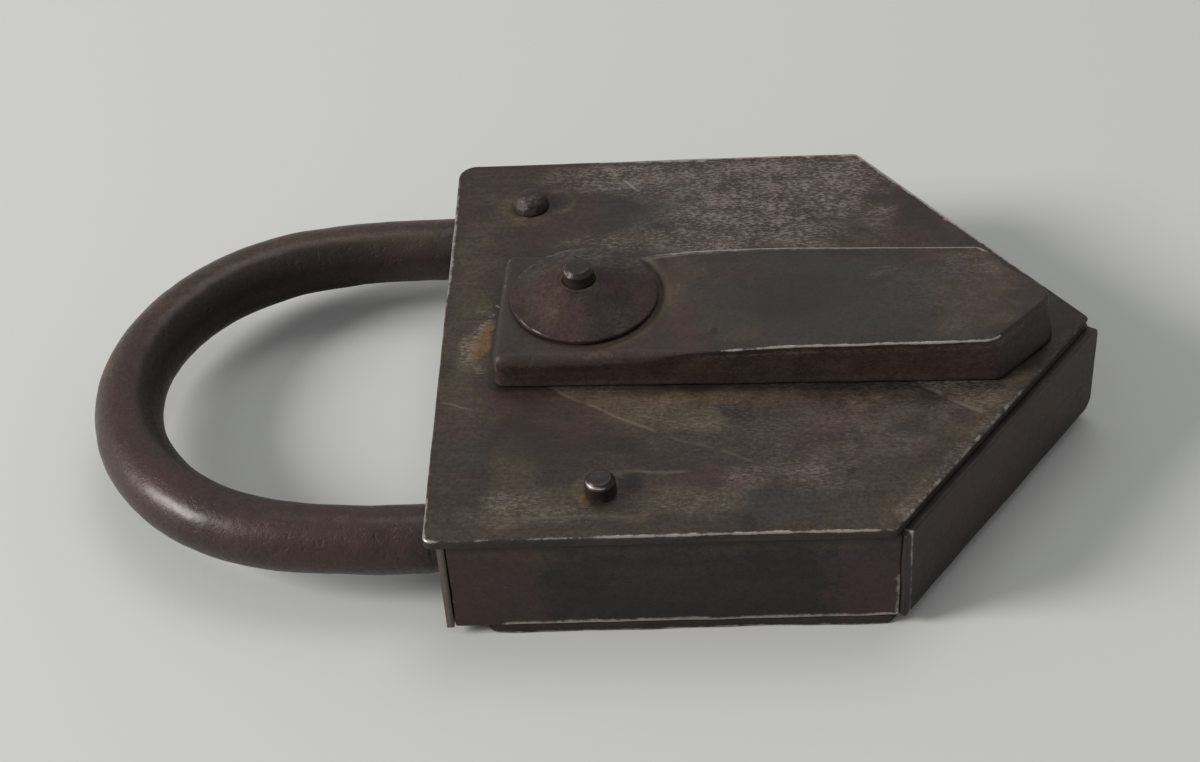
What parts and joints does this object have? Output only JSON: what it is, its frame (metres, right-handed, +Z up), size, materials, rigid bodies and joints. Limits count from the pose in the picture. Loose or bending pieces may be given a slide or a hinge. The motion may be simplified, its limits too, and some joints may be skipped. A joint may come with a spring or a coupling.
{
  "type": "rusty padlock",
  "caption": "Old forged iron padlock: flat pentagonal plate case, side-hinged round shackle, swinging tapered keyhole cover and a sliding bolt, brown with rust and wear.",
  "frame": {"origin": "under the middle of the padlock's length and width, on the surface that its back plate lies on", "axes": "+X from the shackle to the case's point, +Y from the stop rivet's side to the hinge rivet's side, +Z up out of the front plate"},
  "size_m": [0.1584, 0.09, 0.0321],
  "materials": {
    "plate_iron": "brown patina, streaked and worn bright along its edges",
    "back_iron": "dark brown patina",
    "wall_iron": "almost black brown patina with a reddish end",
    "point_iron": "dark grey-brown, rubbed smooth",
    "shackle_iron": "grainy red-brown rust, rubbed shiny on top",
    "rivet_iron": "dark brown with bright worn rims",
    "cover_iron": "brown ends and a dark green-grey middle, bright upper edges",
    "washer_iron": "purplish brown, hammered",
    "inner_iron": "dark oiled iron with light rust",
    "spring_steel": "dark blued spring steel"
  },
  "bodies": {
    "case": {"front_plate": "plate_iron", "back_plate": "back_iron", "end_wall": "wall_iron", "near_side_wall": "wall_iron", "far_side_wall": "wall_iron", "near_point_wall": "point_iron", "far_point_wall": "wall_iron", "hinge_rivet": "rivet_iron", "lower_eye_collar": "inner_iron", "upper_eye_collar": "inner_iron", "stop_rivet": "rivet_iron", "stop_collar": "inner_iron", "cover_pivot": "rivet_iron", "pivot_burr": "inner_iron", "near_bolt_guide": "inner_iron", "far_bolt_guide": "inner_iron", "arm_guide": "inner_iron", "bolt_spring": "spring_steel", "spring_rivet": "inner_iron", "key_post": "inner_iron", "lower_ward": "inner_iron", "upper_ward": "inner_iron"},
    "shackle": {"shackle": "shackle_iron"},
    "cover": {"cover_bar": "cover_iron", "cover_washer": "washer_iron"},
    "bolt": {"bolt": "inner_iron"}
  },
  "joints": [
    {"name": "shackle_swing", "type": "hinge", "parent": "case", "child": "shackle", "pos_m": [-0.01028, 0.0332, 0.0104], "axis": [0, 0, 1], "range_deg": [-30, 0]},
    {"name": "cover_swing", "type": "hinge", "parent": "case", "child": "cover", "pos_m": [-0.00088, 0.0017, 0.0202], "axis": [0, 0, 1], "range_deg": [-56, 84]},
    {"name": "bolt_slide", "type": "slide", "parent": "case", "child": "bolt", "axis": [0, -1, 0], "range_m": [0, 0.0045]}
  ]
}
